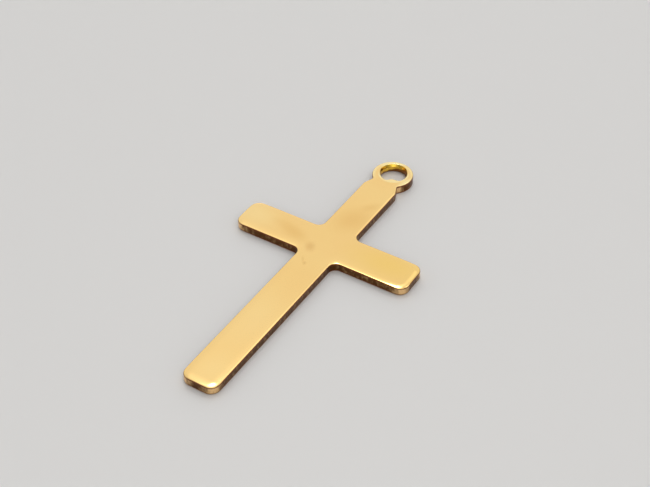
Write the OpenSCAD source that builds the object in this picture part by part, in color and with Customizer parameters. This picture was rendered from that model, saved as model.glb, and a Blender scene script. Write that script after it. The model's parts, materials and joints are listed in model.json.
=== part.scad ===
// Flat cross pendant in one piece of polished metal.
// A round drilled eye at the head takes a jump ring, a bail or a cord.
// It lies on its back on Z = 0. X runs along the arms, Y along the stem to the eye,
// and the origin is under the middle of its bounding box.

/* [Stem] */
// Width of the stem
stem_w = 3.85; // [3.2:0.05:6]
// Length of the stem from the arms' centre line down to the foot
stem_below = 22.4; // [12:0.2:40]
// Length of the stem from the arms' centre line up to the shoulders
stem_above = 10.6; // [6:0.2:24]

/* [Arms] */
// Overall length of the two arms from end to end
arm_span = 20; // [12:0.5:40]
// Width of the arms
arm_w = 4.05; // [2.4:0.05:8]

/* [Plate] */
// Thickness of the whole plate
plate_t = 1; // [0.6:0.1:3]
// Radius of the corners at the foot and at the arms' ends
corner_r = 1; // [0.2:0.1:1.2]
// Radius of the fillets where the arms meet the stem
fillet_r = 0.8; // [0.2:0.1:2.5]

/* [Head] */
// Height of the sloping shoulders between the stem and the neck
shoulder_h = 1.15; // [0.6:0.05:2.5]
// Width of the neck between the two notches
neck_w = 2.9; // [2:0.1:3.1]
// Radius at the bottom of each notch
notch_r = 0.25; // [0.1:0.05:0.4]

/* [Eye] */
// Outer diameter of the eye
eye_d = 4.4; // [4:0.1:8]
// Diameter of the hole through the eye
hole_d = 2.9; // [1:0.1:3.2]
// Distance of the hole's centre beyond the centre of the eye
hole_shift = 0.2; // [0:0.05:0.35]

/* [Hidden] */
$fn = 96;

eye_r = eye_d / 2;

// Heights above the arms' centre line: the neck's notches lie on the eye's circle.
neck_y = stem_above + shoulder_h;
eye_y = neck_y + sqrt(pow(eye_r, 2) - pow(neck_w / 2, 2));
hole_y = eye_y + hole_shift;

// The arms' centre line, set so that the origin is in the middle of the length
arms_y = (stem_below - eye_y - eye_r) / 2;

// How far the hole's cutter runs past both faces of the plate
cut_past = 0.5;

// A square at the corner [0, 0] in the quadrant [1, 1], less the disc that is tangent to
// both of its outer sides: it fills an inner corner, or cuts the tip off an outer one.
module spandrel(r) {
    difference() {
        square(r);
        translate([r, r]) circle(r);
    }
}

// A bar from y0 to y1, w wide, whose corners at y0 are rounded
module round_ended_bar(w, y0, y1) {
    difference() {
        translate([-w / 2, y0]) square([w, y1 - y0]);
        for (side = [0, 1])
            mirror([side, 0]) translate([-w / 2, y0]) spandrel(corner_r);
    }
}

module stem_outline() {
    round_ended_bar(stem_w, -stem_below, stem_above);
}

module arms_outline() {
    for (side = [0, 1])
        mirror([side, 0]) rotate(90) round_ended_bar(arm_w, -arm_span / 2, 0);
}

module crossing_fillets() {
    for (side_x = [0, 1], side_y = [0, 1])
        mirror([side_x, 0]) mirror([0, side_y]) translate([stem_w / 2, arm_w / 2]) spandrel(fillet_r);
}

module shoulders_outline() {
    polygon([
        [-stem_w / 2, stem_above],
        [stem_w / 2, stem_above],
        [neck_w / 2, neck_y],
        [-neck_w / 2, neck_y]
    ]);
}

// The round bottom of the notch on the right: an arc tangent to the shoulder and to the eye
module notch_fillet() {
    shoulder = [stem_w / 2, stem_above];
    eye = [0, eye_y];
    run = [neck_w / 2, neck_y] - shoulder;
    along = run / norm(run);
    outward = [along[1], -along[0]];
    start = shoulder + notch_r * outward - eye;
    reach = start * along;
    step = -reach - sqrt(pow(reach, 2) - start * start + pow(eye_r + notch_r, 2));
    centre = shoulder + notch_r * outward + step * along;
    difference() {
        polygon([
            [0, neck_y],
            shoulder + step * along,
            centre,
            eye + (centre - eye) * eye_r / (eye_r + notch_r)
        ]);
        translate(centre) circle(notch_r);
    }
}

module head_outline() {
    shoulders_outline();
    translate([0, eye_y]) circle(eye_r);
    for (side = [0, 1])
        mirror([side, 0]) notch_fillet();
}

module cross_pendant() {
    color([0.93, 0.78, 0.48])
        translate([0, arms_y, 0])
            difference() {
                linear_extrude(plate_t) {
                    stem_outline();
                    arms_outline();
                    crossing_fillets();
                    head_outline();
                }
                translate([0, hole_y, -cut_past])
                    cylinder(h = plate_t + 2 * cut_past, d = hole_d);
            }
}

cross_pendant();
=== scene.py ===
"""A flat cross pendant in polished gold-coloured metal, lying on its back on a pale floor."""

import json
import math
from collections import namedtuple

import bmesh
import bpy
from mathutils import Matrix, Vector


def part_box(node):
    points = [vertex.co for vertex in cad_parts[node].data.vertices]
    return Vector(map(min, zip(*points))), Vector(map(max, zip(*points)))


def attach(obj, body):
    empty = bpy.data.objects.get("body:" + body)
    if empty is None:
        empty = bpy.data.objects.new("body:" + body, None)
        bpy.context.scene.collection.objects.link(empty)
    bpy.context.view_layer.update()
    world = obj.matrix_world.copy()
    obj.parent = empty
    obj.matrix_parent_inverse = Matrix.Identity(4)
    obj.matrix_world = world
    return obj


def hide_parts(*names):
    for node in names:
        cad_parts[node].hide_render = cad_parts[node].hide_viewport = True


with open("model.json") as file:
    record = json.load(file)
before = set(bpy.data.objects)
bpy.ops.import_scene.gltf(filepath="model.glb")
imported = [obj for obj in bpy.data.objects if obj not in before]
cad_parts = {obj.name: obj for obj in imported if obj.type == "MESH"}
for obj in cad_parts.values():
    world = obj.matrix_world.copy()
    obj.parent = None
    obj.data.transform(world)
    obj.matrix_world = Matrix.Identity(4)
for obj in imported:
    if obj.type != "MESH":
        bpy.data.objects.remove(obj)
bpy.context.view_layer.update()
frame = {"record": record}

MM = 0.001

# The plate's own sizes, in millimetres, as the frame's solid has them
STEM_W = 3.85
ARM_W = 4.05
CORNER_R = 1.0
FILLET_R = 0.8
SHOULDER_H = 1.15
SHOULDER_R = 0.6
NECK_W = 2.9
NOTCH_R = 0.25
EYE_R = 2.2

# The edges: a tight round on the wall, then a crown that buffing wore into the face. The crown has a
# width, and a slope where it meets the round; a higher power keeps it nearer to the edge. It narrows
# towards the eye, from a taper's length below the shoulder up to the neck.
ROUND_R = 0.07
PLATE_CROWN = 0.95
EYE_CROWN = 0.19
HOLE_CROWN = 0.07
CORNER_CROWN = 0.85
PLATE_SLOPE = 0.12
EYE_SLOPE = 0.17
CORNER_SLOPE = 0.27
CROWN_POWER = 2.5
CROWN_TAPER = 2.5
ROUND_STEPS = 6
CROWN_STEPS = 8

# Buffing wore the plate's outer corners most, and the wall gets a painted highlight at those corners and
# in the notches. Each reach is how far from its corner or notch the wear or the painted highlight goes.
WEAR_REACH = 2.2
GLINT_REACH = 1.7
GLINT_NOTCH_REACH = 1.0

# The punch flared the hole's far side under each face: how deep, how wide, and where its rings are.
# Then the flare's middle, its reach to each side, and how much of that reach it fades over, in degrees.
FLARE_H = 0.26
FLARE_W = 0.12
FLARE_SHARES = (0, 0.1, 0.5, 0.9)
FLARE_AT = 122
FLARE_REACH = 85
FLARE_FADE = 40

# A last ring this far beyond the crown keeps the face flat.
FLAT_RIM = 0.02

# The rings of an edge: the flare's, the round's with both of its ends, the crown's, and the flat one
RINGS = len(FLARE_SHARES) + (ROUND_STEPS + 1) + CROWN_STEPS + 1

# The width of the strip that an inset takes before its points are set
PEEL = 0.05

# A burr on the hole's near rim: its height, and where it starts, over how much it rises and falls, and
# where it ends, in degrees
BURR = 0.42
BURR_START = -102
BURR_RISE = 31
BURR_FALL = 36
BURR_END = -30

# Points closer than this count as one, such as where mirrored halves meet.
SEAM = 0.002

# The longest edge of the outline's straight runs, and the steps of its arcs
RUN_STEP = 0.7
CORNER_STEPS = 12
NOTCH_STEPS = 8
EYE_STEPS = 64
SHOULDER_STEPS = 4


def place_of(mount):
    """A mount's place in millimetres."""
    return Vector(mount["pos_m"]) / MM


# The sizes and places that the frame states
low, high = (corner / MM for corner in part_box("cross_pendant"))
mounts = {mount["name"]: mount for mount in frame["record"]["mounts"]}
PLATE_T = high.z - low.z
MIDDLE_Z = PLATE_T / 2
HALF_SPAN = high.x
FOOT_Y = low.y
ARMS_Y = place_of(mounts["back"]).y
EYE_Y = high.y - EYE_R
HOLE_Y = place_of(mounts["eye"]).y
HOLE_R = mounts["eye"]["dims"]["r_mm"]
LIP_R = HOLE_R + FLARE_W
NECK_Y = EYE_Y - math.sqrt(EYE_R ** 2 - (NECK_W / 2) ** 2)
SHOULDER_Y = NECK_Y - SHOULDER_H

# The plate's outer corners on its right side, the shoulder there, and the notch between neck and eye
OUTER_CORNERS = [
    (STEM_W / 2, FOOT_Y), (HALF_SPAN, ARMS_Y - ARM_W / 2), (HALF_SPAN, ARMS_Y + ARM_W / 2),
]
SHOULDER = (STEM_W / 2, SHOULDER_Y)
NOTCH = (NECK_W / 2, NECK_Y)


def put_in_scene(name, data):
    """A new object in the scene, made of this mesh, lamp or camera."""
    added = bpy.data.objects.new(name, data)
    bpy.context.scene.collection.objects.link(added)
    return added


def finished_shape(name, bm):
    """The modelled shape as an object in the scene."""
    mesh = bpy.data.meshes.new(name)
    bm.to_mesh(mesh)
    bm.free()
    return put_in_scene(name, mesh)


class Outline:
    """A chain of edges drawn with straight runs and arcs, like a pen on the plate's face."""

    def __init__(self, bm, start, height):
        self.bm = bm
        self.height = height
        self.tip = bm.verts.new((start[0], start[1], height))
        self.first = self.tip

    def run(self, x, y):
        """A straight line to the point x, y, in short edges."""
        start, end = self.tip.co.copy(), Vector((x, y, self.height))
        steps = math.ceil((end - start).length / RUN_STEP)
        for step in range(1, steps + 1):
            self.tip = bmesh.ops.extrude_vert_indiv(self.bm, verts=[self.tip])["verts"][0]
            self.tip.co = start.lerp(end, step / steps)

    def turn(self, centre, degrees, steps):
        """An arc round the centre, anticlockwise where degrees is positive."""
        swept = bmesh.ops.spin(
            self.bm, geom=[self.tip], cent=(centre[0], centre[1], self.height),
            axis=(0, 0, 1), angle=math.radians(degrees), steps=steps, use_merge=False,
        )
        self.tip = next(v for v in swept["geom_last"] if isinstance(v, bmesh.types.BMVert))

    def close(self):
        """The last edge, back to the start."""
        bmesh.ops.contextual_create(self.bm, geom=[self.tip, self.first])


def shoulder_line():
    """The direction of the right shoulder's slope, upwards, and its normal, away from the stem."""
    slope = (Vector(NOTCH) - Vector(SHOULDER)).normalized()
    return slope, Vector((slope.y, -slope.x))


def notch_centre():
    """The centre of the small arc between the shoulder and the eye, and its foot on the shoulder."""
    slope, outward = shoulder_line()
    start = Vector(SHOULDER) + NOTCH_R * outward - Vector((0, EYE_Y))
    reach = start.dot(slope)
    along = -reach - math.sqrt(reach ** 2 - start.length_squared + (EYE_R + NOTCH_R) ** 2)
    foot = Vector(SHOULDER) + along * slope
    return foot + NOTCH_R * outward, foot


def right_half(bm, height):
    """The right half of the face as one face, with half of the hole in its inner side."""
    half_stem, half_arm = STEM_W / 2, ARM_W / 2
    pen = Outline(bm, (0, FOOT_Y), height)
    pen.run(half_stem - CORNER_R, FOOT_Y)
    pen.turn((half_stem - CORNER_R, FOOT_Y + CORNER_R), 90, CORNER_STEPS)
    pen.run(half_stem, ARMS_Y - half_arm - FILLET_R)
    pen.turn((half_stem + FILLET_R, ARMS_Y - half_arm - FILLET_R), -90, CORNER_STEPS)
    pen.run(HALF_SPAN - CORNER_R, ARMS_Y - half_arm)
    pen.turn((HALF_SPAN - CORNER_R, ARMS_Y - half_arm + CORNER_R), 90, CORNER_STEPS)
    pen.run(HALF_SPAN, ARMS_Y + half_arm - CORNER_R)
    pen.turn((HALF_SPAN - CORNER_R, ARMS_Y + half_arm - CORNER_R), 90, CORNER_STEPS)
    pen.run(half_stem + FILLET_R, ARMS_Y + half_arm)
    pen.turn((half_stem + FILLET_R, ARMS_Y + half_arm + FILLET_R), -90, CORNER_STEPS)

    # The shoulder's corner is rounded too, by an arc tangent to the stem and to the slope.
    slope, outward = shoulder_line()
    bend = math.degrees(math.atan2(-slope.x, slope.y))
    back = SHOULDER_R * math.tan(math.radians(bend / 2))
    pen.run(half_stem, SHOULDER_Y - back)
    pen.turn((half_stem - SHOULDER_R, SHOULDER_Y - back), bend, SHOULDER_STEPS)

    centre, foot = notch_centre()
    towards_eye = (Vector((0, EYE_Y)) - centre).normalized()
    notch_bend = math.degrees((-outward).angle(towards_eye))
    pen.run(foot.x, foot.y)
    pen.turn(centre, -notch_bend, NOTCH_STEPS)
    to_top = math.degrees((-towards_eye).angle(Vector((0, 1))))
    pen.turn((0, EYE_Y), to_top, EYE_STEPS)
    pen.run(0, HOLE_Y + HOLE_R)
    pen.turn((0, HOLE_Y), -180, EYE_STEPS)
    pen.close()
    return bmesh.ops.contextual_create(bm, geom=bm.edges[:])["faces"]


def smooth_step(share):
    """Goes smoothly from 0 to 1 with the share, and stays there beyond them."""
    share = min(max(share, 0), 1)
    return share * share * (3 - 2 * share)


def in_hole(point):
    """Whether this point of the outline is on the hole's rim or its burr."""
    return math.hypot(point.x, point.y - HOLE_Y) < HOLE_R + SEAM


def add_burr(bm):
    """Moves the hole's near rim towards the hole's middle, where the punch left a burr."""
    for vert in bm.verts:
        if in_hole(vert.co):
            angle = math.degrees(math.atan2(vert.co.y - HOLE_Y, vert.co.x))
            rise = smooth_step((angle - BURR_START) / BURR_RISE)
            fall = smooth_step((BURR_END - angle) / BURR_FALL)
            to_middle = Vector((-vert.co.x, HOLE_Y - vert.co.y, 0)).normalized()
            vert.co += to_middle * BURR * rise * fall


def wear_and_glint_at(point, places, reach):
    """How near the places named this point is, for the crown's wear and the wall's painted highlight: 1
    at them, and 0 from this far away from them.
    """
    nearest = min(math.hypot(abs(point.x) - x, point.y - y) for x, y in places)
    return smooth_step(1 - nearest / reach)


def crown_at(point):
    """The crown's width and slope at this point of the outline."""
    if in_hole(point):
        return HOLE_CROWN, PLATE_SLOPE
    wear = wear_and_glint_at(point, OUTER_CORNERS, WEAR_REACH)
    taper_y = SHOULDER_Y - CROWN_TAPER
    on_eye = smooth_step((point.y - taper_y) / (NECK_Y - taper_y))
    crown = PLATE_CROWN + (CORNER_CROWN - PLATE_CROWN) * wear + (EYE_CROWN - PLATE_CROWN) * on_eye
    slope = PLATE_SLOPE + (CORNER_SLOPE - PLATE_SLOPE) * wear + (EYE_SLOPE - PLATE_SLOPE) * on_eye
    return crown, slope


def flare_at(point):
    """How wide the flare is at this point of the outline."""
    if not in_hole(point):
        return 0
    angle = math.degrees(math.atan2(point.y - HOLE_Y, point.x))
    off_side = abs((angle - FLARE_AT + 180) % 360 - 180)
    return FLARE_W * smooth_step((FLARE_REACH - off_side) / FLARE_FADE)


def edge_curve(point):
    """The rings of the edge at this point of the outline: how far in, and how far below the face."""
    crown, slope = crown_at(point)
    flare = flare_at(point)
    drop = crown * slope / CROWN_POWER
    lean = math.atan(slope)
    steep = math.atan2(FLARE_H, flare)
    lip = drop + ROUND_R * (math.cos(lean) - math.cos(steep))
    rings = [(flare * share, lip + FLARE_H * (1 - share)) for share in FLARE_SHARES]
    for step in range(ROUND_STEPS + 1):
        tilt = steep + (lean - steep) * step / ROUND_STEPS
        inwards = flare + ROUND_R * (math.sin(steep) - math.sin(tilt))
        rings.append((inwards, drop + ROUND_R * (math.cos(lean) - math.cos(tilt))))
    round_w = rings[-1][0]
    for step in range(1, CROWN_STEPS + 1):
        share = step / CROWN_STEPS
        rings.append((round_w + crown * share, drop * (1 - share) ** CROWN_POWER))
    rings.append((round_w + crown + FLAT_RIM, 0))
    return rings


def roll_over(bm, faces):
    """Rings round the face that follow the edge's curve, each on rays that start at the outline."""
    start = bm.verts.layers.float_vector.new("start")
    ray = bm.verts.layers.float_vector.new("ray")
    skin = bm.verts.layers.float.new("cut_skin")
    bare_and_glint = bm.verts.layers.float.new("bare_and_glint")
    for vert in bm.verts:
        vert[start] = vert.co
        vert[skin] = 1
        # Nearness to the outer corners and the notch, for the wall's painted highlight there
        at_corner = wear_and_glint_at(vert.co, OUTER_CORNERS, GLINT_REACH)
        vert[bare_and_glint] = max(at_corner, wear_and_glint_at(vert.co, [NOTCH], GLINT_NOTCH_REACH))
    round_start = len(FLARE_SHARES)
    for ring in range(1, RINGS):
        bmesh.ops.inset_region(
            bm, faces=faces, thickness=PEEL, use_boundary=True, use_even_offset=True,
        )
        for vert in {vert for face in faces for vert in face.verts}:
            if vert[ray].length == 0:
                vert[ray] = (vert.co - vert[start]) / PEEL
            inwards, below = edge_curve(vert[start])[ring]
            vert.co = vert[start] + vert[ray] * inwards
            vert.co.z = PLATE_T - below
            vert[skin] = min(max(1 - (ring - round_start) / ROUND_STEPS, 0), 1)
    for spent in ("ray", "start"):
        bm.verts.layers.float_vector.remove(bm.verts.layers.float_vector[spent])


def make_pendant():
    """The plate: its upper half is made from the outline, and mirrored to make the lower one."""
    bm = bmesh.new()
    right_half(bm, PLATE_T)
    bmesh.ops.mirror(bm, geom=bm.verts[:] + bm.edges[:] + bm.faces[:], axis="X")
    bmesh.ops.remove_doubles(bm, verts=bm.verts[:], dist=SEAM)
    add_burr(bm)
    for vert in bm.verts:
        vert.co.z = PLATE_T - edge_curve(vert.co)[0][1]
    faces = bm.faces[:]
    for face in faces:
        face.normal_update()
        if face.normal.z < 0:
            face.normal_flip()

    rim = [edge for edge in bm.edges if edge.is_boundary]
    walls = bmesh.ops.extrude_edge_only(bm, edges=rim)["geom"]
    for vert in walls:
        if isinstance(vert, bmesh.types.BMVert):
            vert.co.z = MIDDLE_Z
    roll_over(bm, faces)

    middle = Matrix.Translation((0, 0, MIDDLE_Z))
    bmesh.ops.mirror(
        bm, geom=bm.verts[:] + bm.edges[:] + bm.faces[:], matrix=middle.inverted(), axis="Z",
    )
    bmesh.ops.remove_doubles(bm, verts=bm.verts[:], dist=SEAM)
    bmesh.ops.recalc_face_normals(bm, faces=bm.faces[:])
    bmesh.ops.scale(bm, vec=(MM, MM, MM), verts=bm.verts[:])
    pendant = finished_shape("cross_pendant_metal", bm)
    pendant.data.shade_smooth()
    return pendant


class Nodes:
    """A tree of nodes. Each call adds one node and gives its output, for the next call to read."""

    def __init__(self, tree):
        self.tree = tree

    def join(self, value, socket):
        """Sets a socket to a plain value, or links the output of another node to it."""
        if isinstance(value, bpy.types.NodeSocket):
            self.tree.links.new(value, socket)
        else:
            socket.default_value = value

    def coordinate(self, kind):
        """One of the coordinates that Blender gives each point."""
        return self.tree.nodes.new("ShaderNodeTexCoord").outputs[kind]

    def math(self, operation, *values):
        """One step of arithmetic on plain numbers or on other nodes' outputs."""
        node = self.tree.nodes.new("ShaderNodeMath")
        node.operation = operation
        for value, socket in zip(values, node.inputs):
            self.join(value, socket)
        return node.outputs["Value"]

    def vector_math(self, operation, *values):
        """One step of arithmetic on plain vectors or on other nodes' outputs."""
        node = self.tree.nodes.new("ShaderNodeVectorMath")
        node.operation = operation
        for value, socket in zip(values, node.inputs):
            self.join(value, socket)
        return next(socket for socket in node.outputs if socket.enabled)

    def fade(self, value, start, end, low=0.0, high=1.0):
        """Goes smoothly from low to high while the value goes from start to end."""
        node = self.tree.nodes.new("ShaderNodeMapRange")
        node.interpolation_type = "SMOOTHSTEP"
        self.join(value, node.inputs["Value"])
        node.inputs["From Min"].default_value = start
        node.inputs["From Max"].default_value = end
        node.inputs["To Min"].default_value = low
        node.inputs["To Max"].default_value = high
        return node.outputs["Result"]


class Finish(Nodes):
    """A material's nodes, with the measures, grains and reliefs that a metal's finish needs."""

    def __init__(self, name):
        self.material = bpy.data.materials.new(name)
        self.material.use_nodes = True
        super().__init__(self.material.node_tree)
        self.shader = self.tree.nodes["Principled BSDF"]

    def measured(self, place, size=(1, 1, 1), centre=(0, 0, 0), turn=0):
        """The place measured from a centre in millimetres, on a turned grid of this size."""
        mapping = self.tree.nodes.new("ShaderNodeMapping")
        mapping.vector_type = "TEXTURE"
        self.join(place, mapping.inputs["Vector"])
        mapping.inputs["Location"].default_value = Vector(centre) * MM
        mapping.inputs["Rotation"].default_value = (0, 0, math.radians(turn))
        mapping.inputs["Scale"].default_value = size
        return mapping.outputs["Vector"]

    def along(self, axis, place):
        """The place's measure along one axis."""
        axes = self.tree.nodes.new("ShaderNodeSeparateXYZ")
        self.join(place, axes.inputs["Vector"])
        return axes.outputs[axis]

    def noise(self, place, grain):
        """The soft blotches of a grain, from 0 to 1."""
        noise = self.tree.nodes.new("ShaderNodeTexNoise")
        self.join(self.measured(place, grain.stretch, turn=grain.turn), noise.inputs["Vector"])
        noise.inputs["Scale"].default_value = 1 / (grain.size * MM)
        noise.inputs["Detail"].default_value = grain.detail
        return noise.outputs["Fac"]

    def kept(self, name):
        """A number that the mesh keeps at each of its points."""
        attribute = self.tree.nodes.new("ShaderNodeAttribute")
        attribute.attribute_name = name
        return attribute.outputs["Fac"]

    def highlighted(self, distance, highlight):
        """How much painted highlight the metal has at this distance."""
        return self.fade(distance, highlight.start * MM, highlight.full * MM, 0.0, highlight.strength)

    def blend(self, share, first, second):
        """The first colour or number where the share is 0, and the second where it is 1."""
        node = self.tree.nodes.new("ShaderNodeMix")
        colours = isinstance(first, tuple) or getattr(first, "type", "") == "RGBA"
        node.data_type = "RGBA" if colours else "FLOAT"
        used = [socket for socket in node.inputs if socket.enabled]
        for value, socket in zip((share, first, second), used):
            self.join(value, socket)
        return next(socket for socket in node.outputs if socket.enabled)

    def bump(self, height, depth, below=None):
        """A relief this deep in millimetres, laid over another one."""
        node = self.tree.nodes.new("ShaderNodeBump")
        self.join(height, node.inputs["Height"])
        node.inputs["Distance"].default_value = depth * MM
        if below is not None:
            self.join(below, node.inputs["Normal"])
        return node.outputs["Normal"]


# The gold as it is buffed, and where it is redder
GOLD = (0.95, 0.664, 0.268, 1)
REDDER_GOLD = (0.944, 0.645, 0.256, 1)

# Its stains: paler and deeper gold and tarnish; and the painted highlight on the eye, a pale gold
PALE_GOLD = (0.966, 0.73, 0.335, 1)
DEEP_GOLD = (0.93, 0.638, 0.196, 1)
TARNISH = (0.82, 0.5, 0.165, 1)
GREY_TARNISH = (0.825, 0.532, 0.203, 1)
RIM_HIGHLIGHT = (1.0, 0.86, 0.45, 1)

# The walls that the cutting left: their skin, darkened with painted shade; the red line under each face,
# a painted shade; and the bare metal, which also carries a painted highlight at corners and notches
EDGE_SKIN_SHADE = (0.125, 0.05, 0.013, 1)
EDGE_RED_SHADE = (0.24, 0.075, 0.03, 1)
EDGE_BARE_AND_GLINT = (0.95, 0.64, 0.31, 1)

# The hole's wall: a deep bright yellow as a painted reflection, and brown as painted shade on its lower
# part
HOLE_REFLECTED_GOLD = (1.0, 0.64, 0.08, 1)
HOLE_SHADE_BRONZE = (0.3, 0.12, 0.02, 1)

# Where the eye has painted highlights: where each starts and where it is full, in millimetres, and its
# strength there. The sides are measured from the eye's middle towards its far side, the outer rim from
# the eye's middle, and the near rim from the hole's.
EyeHighlight = namedtuple("EyeHighlight", "start full strength")
FAR_SIDE = EyeHighlight(start=1.1, full=1.8, strength=0.9)
OUTER_RIM = EyeHighlight(start=EYE_R - 0.5, full=EYE_R - 0.12, strength=1.0)
OUTER_SIDE = EyeHighlight(start=-1.1, full=0.2, strength=0.6)
NEAR_RIM = EyeHighlight(start=HOLE_R + 0.3, full=HOLE_R + 0.16, strength=1.0)
NEAR_SIDE = EyeHighlight(start=0.6, full=-0.4, strength=0.7)

# The eye's far side, as a turn from the head's end, in degrees
FAR_SIDE_TURN = 30

# The metal's grains: the size of the blotches in millimetres, how they are stretched, the turn of that
# in degrees, and how many finer layers they have. Clouds and pores are on the face, and so are the lines
# of the buffing. Patches and ribs are on the cut wall.
Grain = namedtuple("Grain", "size stretch turn detail", defaults=((1, 1, 1), 0, 2))
CLOUDS = Grain(size=6.0)
PORES = Grain(size=0.35, detail=4)
BUFFING = Grain(size=0.05, stretch=(1, 16, 1), turn=-33)
PATCHES = Grain(size=0.4, stretch=(1, 1, 2), detail=3)
RIBS = Grain(size=0.1, stretch=(1, 1, 5), detail=3)

# The middle of a grain's values, and the range of them over which the clouds and the finer grains show
GRAIN_MIDDLE = 0.5
CLOUD_RANGE = (0.35, 0.65)
GRAIN_RANGE = (0.3, 0.7)

# How deep the grains are, in millimetres
CLOUD_RELIEF = 0.01
BUFFING_RELIEF = 0.0004
RIB_RELIEF = 0.012

# Roughness where the metal is smoothest and roughest: on the face, on the cut wall and in the hole
FACE_ROUGHNESS = (0.06, 0.09)
WALL_ROUGHNESS = (0.26, 0.46)
HOLE_ROUGHNESS = (0.16, 0.4)

# The mesh keeps how much of the cut's skin each point has, 0 on the face and 1 on the wall, and the
# patches make its end ragged. The wall's finish starts at the first value, and is full at the second.
SKIN_RANGE = (0.05, 0.5)

# The patches, this share of the ribs and this share of the nearness to a corner or notch add up. The
# wall's bare metal, with the painted highlight at corners and notches, starts at the first total and is
# full at the second.
RIB_SHARE = 0.12
CORNER_SHARE = 0.8
BARE_AND_GLINT_RANGE = (0.5, 1.25)

# The red line on the wall under each face, a painted shade: where it starts and is full, in millimetres
# from the face
RED_SHADE_START = 0.28
RED_SHADE_FULL = 0.1

# The radius inside which the hole's wall has its own finish, and the one where that ends
HOLE_FINISH_R = LIP_R + 0.1
HOLE_FINISH_END = LIP_R + 0.3

# The hole's wall has painted shade below a line across it: how steeply the line rises to the right, how
# ragged it is, and how far below it the painted shade starts and is full, in millimetres. A start under
# 0 lies above the line.
SHADE_SLANT = 0.2
SHADE_RAGGED = 0.5
SHADE_START = -0.2
SHADE_FULL = 0.02

# A pattern of this size in one direction doesn't change over the piece in that direction.
FAR = 1000.0

# Stains on the face, and one painted highlight on the eye: centre x, y, length and width in millimetres,
# turn in degrees, the strength at the middle, and how much duller it is there
StainOrHighlight = namedtuple("StainOrHighlight", "tint x y length width turn strength dull")
STAINS_AND_HIGHLIGHT = [
    StainOrHighlight(PALE_GOLD, x=-9.0, y=3.7, length=9.0, width=6.0, turn=-10, strength=0.75, dull=0),
    StainOrHighlight(PALE_GOLD, x=0.0, y=-9.5, length=13.0, width=7.0, turn=90, strength=0.4, dull=0),
    StainOrHighlight(PALE_GOLD, x=0.3, y=-17.0, length=7.0, width=5.0, turn=90, strength=0.35, dull=0),
    StainOrHighlight(DEEP_GOLD, x=7.0, y=3.9, length=13.0, width=7.0, turn=0, strength=0.85, dull=0),
    StainOrHighlight(TARNISH, x=0.3, y=7.9, length=7.0, width=5.5, turn=60, strength=0.5, dull=0.03),
    StainOrHighlight(TARNISH, x=0.9, y=10.7, length=3.4, width=1.8, turn=50, strength=0.35, dull=0.03),
    StainOrHighlight(TARNISH, x=-3.7, y=3.1, length=5.0, width=2.6, turn=-16, strength=0.5, dull=0.03),
    StainOrHighlight(TARNISH, x=-5.4, y=3.7, length=4.5, width=2.2, turn=-10, strength=0.25, dull=0.03),
    StainOrHighlight(GREY_TARNISH, x=-1.22, y=2.1, length=2.3, width=1.6, turn=-58, strength=1, dull=0.06),
    StainOrHighlight(GREY_TARNISH, x=-0.38, y=-0.29, length=0.8, width=0.6, turn=-58, strength=0.9, dull=0.06),
    StainOrHighlight(GREY_TARNISH, x=-0.82, y=0.1, length=1.6, width=0.45, turn=-58, strength=0.5, dull=0.03),
    # A painted highlight on the eye's lower right, not a stain
    StainOrHighlight(RIM_HIGHLIGHT, x=1.9, y=16.2, length=3.6, width=1.2, turn=72, strength=0.9, dull=0),
]


def stained_and_highlighted(finish, place, face, roughness):
    """The face's colour and roughness with the stains on it and a painted highlight on the eye, each
    softly faded out.
    """
    for stain_or_highlight in STAINS_AND_HIGHLIGHT:
        size = (stain_or_highlight.length / 2 * MM, stain_or_highlight.width / 2 * MM, FAR)
        from_middle = finish.measured(place, size, (stain_or_highlight.x, stain_or_highlight.y, 0), stain_or_highlight.turn)
        spot = finish.fade(finish.vector_math("LENGTH", from_middle), 0.0, 1.0, stain_or_highlight.strength, 0.0)
        face = finish.blend(spot, face, stain_or_highlight.tint)
        if stain_or_highlight.dull:
            roughness = finish.math("MULTIPLY_ADD", spot, stain_or_highlight.dull, roughness)
    return face, roughness


def buffed_face(finish, place):
    """The face: soft clouds in the gold, fine pores, stains, and painted highlights on the eye."""
    clouds = finish.fade(finish.noise(place, CLOUDS), *CLOUD_RANGE)
    face = finish.blend(clouds, GOLD, REDDER_GOLD)
    roughness = finish.fade(finish.noise(place, PORES), *GRAIN_RANGE, *FACE_ROUGHNESS)
    face, roughness = stained_and_highlighted(finish, place, face, roughness)
    # The eye's pale rims and far side are a painted highlight
    return finish.blend(eye_highlight(finish, place), face, RIM_HIGHLIGHT), roughness


def eye_highlight(finish, place):
    """How much painted highlight the eye has: on its far side, its outer rim, and the hole's near rim.
    """
    from_eye = finish.measured(place, (1, 1, FAR), (0, EYE_Y, 0), FAR_SIDE_TURN)
    towards_far_side = finish.along("Y", from_eye)
    far_side = finish.highlighted(towards_far_side, FAR_SIDE)
    outer = finish.highlighted(finish.vector_math("LENGTH", from_eye), OUTER_RIM)
    outer_rim = finish.math("MULTIPLY", outer, finish.highlighted(towards_far_side, OUTER_SIDE))
    from_hole = finish.measured(place, (1, 1, FAR), (0, HOLE_Y, 0))
    near = finish.highlighted(finish.vector_math("LENGTH", from_hole), NEAR_RIM)
    near_rim = finish.math("MULTIPLY", near, finish.highlighted(towards_far_side, NEAR_SIDE))
    return finish.math("MAXIMUM", finish.math("MAXIMUM", far_side, outer_rim), near_rim)


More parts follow.
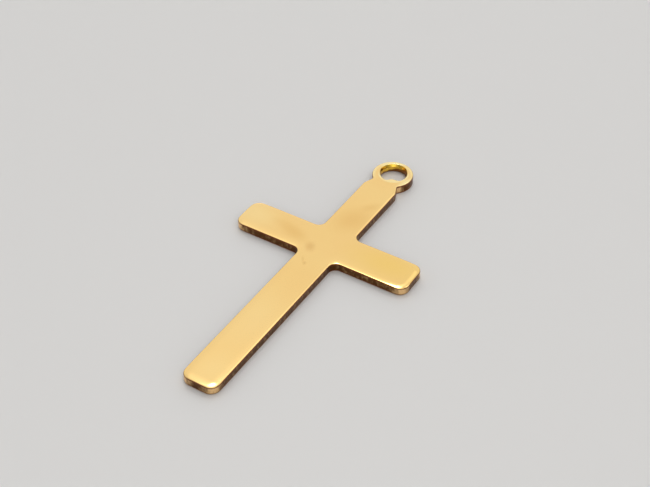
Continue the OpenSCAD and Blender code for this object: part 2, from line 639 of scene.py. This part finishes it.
def cut_wall(finish, place, patches, ribs):
    """The walls that the cutting left: dark skin with painted shade, some bare metal with painted
    highlights at corners and notches, a painted shade line under each face, and the hole's wall with its
    painted reflection and shade.
    """
    bare_and_glint = finish.math("MULTIPLY_ADD", ribs, RIB_SHARE, patches)
    # Nearness to corners and notches adds a painted highlight to the bare metal
    bare_and_glint = finish.math("MULTIPLY_ADD", finish.kept("bare_and_glint"), CORNER_SHARE, bare_and_glint)
    # The wall's skin colour is darkened as painted shade
    wall = finish.blend(finish.fade(bare_and_glint, *BARE_AND_GLINT_RANGE), EDGE_SKIN_SHADE, EDGE_BARE_AND_GLINT)
    height = finish.math("SUBTRACT", finish.along("Z", place), MIDDLE_Z * MM)
    from_middle = finish.math("ABSOLUTE", height)
    # A painted shade: a dark red line on the wall just under each face
    red_shade_line = finish.fade(from_middle, (MIDDLE_Z - RED_SHADE_START) * MM, (MIDDLE_Z - RED_SHADE_FULL) * MM)
    wall = finish.blend(red_shade_line, wall, EDGE_RED_SHADE)
    roughness = finish.fade(ribs, *GRAIN_RANGE, *WALL_ROUGHNESS)

    from_hole = finish.measured(place, (1, 1, FAR), (0, HOLE_Y, 0))
    across = finish.vector_math("LENGTH", from_hole)
    in_the_hole = finish.fade(across, HOLE_FINISH_END * MM, HOLE_FINISH_R * MM)
    # Painted reflection in the hole's deep yellow, and painted shade in its brown lower part
    hole_shaded = hole_shade(finish, from_hole, height, patches)
    wall = finish.blend(in_the_hole, wall, finish.blend(hole_shaded, HOLE_REFLECTED_GOLD, HOLE_SHADE_BRONZE))
    roughness = finish.blend(in_the_hole, roughness, finish.blend(hole_shaded, *HOLE_ROUGHNESS))
    return wall, roughness


def hole_shade(finish, from_hole, height, patches):
    """How much painted shade the hole's wall has: it lies low on the wall, below a ragged line that
    rises to the right.
    """
    below = finish.math("MULTIPLY", height, -1)
    below = finish.math("MULTIPLY_ADD", finish.along("X", from_hole), SHADE_SLANT, below)
    ragged = finish.math("SUBTRACT", patches, GRAIN_MIDDLE)
    below = finish.math("MULTIPLY_ADD", ragged, SHADE_RAGGED * MM, below)
    return finish.fade(below, SHADE_START * MM, SHADE_FULL * MM)


def polished_gold():
    """Buffed gold on the faces, with painted highlights on the eye, and the plainer skin of the cut on
    the walls and in the hole, with painted shade and highlights.
    """
    finish = Finish("polished_gold")
    place = finish.coordinate("Object")
    patches = finish.noise(place, PATCHES)
    ribs = finish.noise(place, RIBS)
    ragged = finish.math("ADD", patches, GRAIN_MIDDLE)
    skin = finish.math("MULTIPLY", ragged, finish.kept("cut_skin"))
    on_wall = finish.fade(skin, *SKIN_RANGE)

    face, face_roughness = buffed_face(finish, place)
    wall, wall_roughness = cut_wall(finish, place, patches, ribs)
    finish.join(finish.blend(on_wall, face, wall), finish.shader.inputs["Base Color"])
    finish.join(finish.blend(on_wall, face_roughness, wall_roughness), finish.shader.inputs["Roughness"])
    finish.shader.inputs["Metallic"].default_value = 1

    relief = finish.bump(finish.noise(place, CLOUDS), CLOUD_RELIEF)
    relief = finish.bump(finish.noise(place, BUFFING), BUFFING_RELIEF, relief)
    ribbing = finish.math("MULTIPLY", finish.math("SUBTRACT", ribs, GRAIN_MIDDLE), on_wall)
    relief = finish.bump(ribbing, RIB_RELIEF, relief)
    finish.join(relief, finish.shader.inputs["Normal"])
    return finish.material


# The floor: its radius in metres, the steps of its edge, and its finish
FLOOR_R = 3.0
FLOOR_STEPS = 64
FLOOR_COLOUR = (0.78, 0.775, 0.765, 1)
FLOOR_ROUGHNESS = 0.5


def make_floor():
    """A wide pale disc under the pendant."""
    bm = bmesh.new()
    bmesh.ops.create_circle(bm, cap_ends=True, segments=FLOOR_STEPS, radius=FLOOR_R)
    floor = finished_shape("floor", bm)
    finish = Finish("pale_floor")
    finish.shader.inputs["Base Color"].default_value = FLOOR_COLOUR
    finish.shader.inputs["Roughness"].default_value = FLOOR_ROUGHNESS
    floor.data.materials.append(finish.material)
    return floor


# The photograph's camera, in degrees and millimetres. Its aim is measured from the crossing's middle.
VIEW_AZIMUTH = 31.75
VIEW_ELEVATION = 41.05
VIEW_ROLL = 0.12
VIEW_DISTANCE = 131.2
VIEW_LENS = 72.0
VIEW_AIM = (-0.187, -0.116)

# The nearest and the farthest that the camera sees, in metres
VIEW_NEAREST = 0.01
VIEW_FARTHEST = 20

# The studio's light, a little warm, and the room's own level all round
SOFT_WHITE = (1.0, 0.985, 0.96)
ROOM_LEVEL = (0.3, 0.3, 0.305)

# Broad soft glows in the room, each with its radiance. A glow is even out to its core, and fades out at
# its reach; these are angles from its middle, in degrees.
BEHIND = VIEW_AZIMUTH + 180
Glow = namedtuple("Glow", "azimuth elevation core reach radiance")
GLOWS = [
    Glow(BEHIND + 2, 38, 20, 46, 0.62),
    Glow(BEHIND + 12, 54, 2, 16, 0.1),
    Glow(BEHIND + 6, 66, 4, 20, 0.5),
    Glow(BEHIND + 3, 59, 1, 5, 5.0),
    Glow(BEHIND + 4, 65, 3, 11, 3.0),
    Glow(BEHIND - 16, 46, 1, 5, 0.25),
    Glow(BEHIND - 14, 53, 1, 6, 0.4),
    Glow(BEHIND - 45, 57, 3, 12, 1.5),
    Glow(BEHIND, 8, 4, 14, 0.3),
    Glow(0, 90, 12, 26, 0.4),
    Glow(VIEW_AZIMUTH, 17, 10, 44, 0.5),
    Glow(VIEW_AZIMUTH, 9, 4, 18, 0.6),
    Glow(VIEW_AZIMUTH + 95, 20, 10, 40, 0.5),
    Glow(VIEW_AZIMUTH - 95, 20, 10, 40, 0.5),
]

# The key light, a square card of light aimed at the crossing: where it is seen from there and the
# angle that it fills, in degrees, its distance in metres, and its radiance
KEY_AZIMUTH = VIEW_AZIMUTH + 35
KEY_ELEVATION = 60
KEY_ANGLE = 28
KEY_DISTANCE = 1.2
KEY_RADIANCE = 2.4


def direction(azimuth, elevation):
    """The way from the pendant to this azimuth and elevation, in degrees; azimuth 0 is past the foot."""
    turn, rise = math.radians(azimuth), math.radians(elevation)
    return Vector((math.sin(turn) * math.cos(rise), -math.cos(turn) * math.cos(rise), math.sin(rise)))


def make_camera():
    """The photograph's camera."""
    data = bpy.data.cameras.new("camera")
    data.lens = VIEW_LENS
    data.clip_start = VIEW_NEAREST
    data.clip_end = VIEW_FARTHEST
    camera = put_in_scene("camera", data)
    target = Vector((VIEW_AIM[0], ARMS_Y + VIEW_AIM[1], PLATE_T)) * MM
    back = direction(VIEW_AZIMUTH, VIEW_ELEVATION)
    camera.location = target + back * VIEW_DISTANCE * MM
    level = (-back).to_track_quat("-Z", "Y").to_matrix()
    roll = Matrix.Rotation(math.radians(VIEW_ROLL), 3, "Z")
    camera.rotation_euler = (level @ roll).to_euler()
    bpy.context.scene.camera = camera


def add_glow(room, sight, glow, light):
    """The light so far, with this glow added to it."""
    facing = room.vector_math("DOT_PRODUCT", sight, direction(glow.azimuth, glow.elevation))
    away = room.math("ARCCOSINE", facing)
    strength = room.fade(away, math.radians(glow.core), math.radians(glow.reach), glow.radiance, 0.0)
    return room.vector_math("MULTIPLY_ADD", strength, SOFT_WHITE, light)


def make_studio():
    """The room round the pendant, lit by its own level and the glows."""
    world = bpy.data.worlds.new("studio")
    world.use_nodes = True
    room = Nodes(world.node_tree)
    sight = room.coordinate("Generated")
    light = ROOM_LEVEL
    for glow in GLOWS:
        light = add_glow(room, sight, glow, light)
    room.join(light, room.tree.nodes["Background"].inputs["Color"])
    bpy.context.scene.world = world


def make_key_light():
    """The one lamp. Seen from the pendant, it is higher than the camera and on the camera's right."""
    light = bpy.data.lights.new("key_light", "AREA")
    light.shape = "SQUARE"
    light.size = 2 * KEY_DISTANCE * math.tan(math.radians(KEY_ANGLE / 2))
    light.energy = KEY_RADIANCE * math.pi * light.size ** 2
    light.color = SOFT_WHITE
    lamp = put_in_scene("key_light", light)
    centre = Vector((0, ARMS_Y * MM, 0))
    lamp.location = centre + direction(KEY_AZIMUTH, KEY_ELEVATION) * KEY_DISTANCE
    lamp.rotation_euler = (centre - lamp.location).to_track_quat("-Z", "Y").to_euler()


pendant = make_pendant()
pendant.data.materials.append(polished_gold())
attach(pendant, "root")
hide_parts("cross_pendant")

make_floor()
make_camera()
make_studio()
make_key_light()
bpy.context.scene.view_settings.view_transform = "Standard"
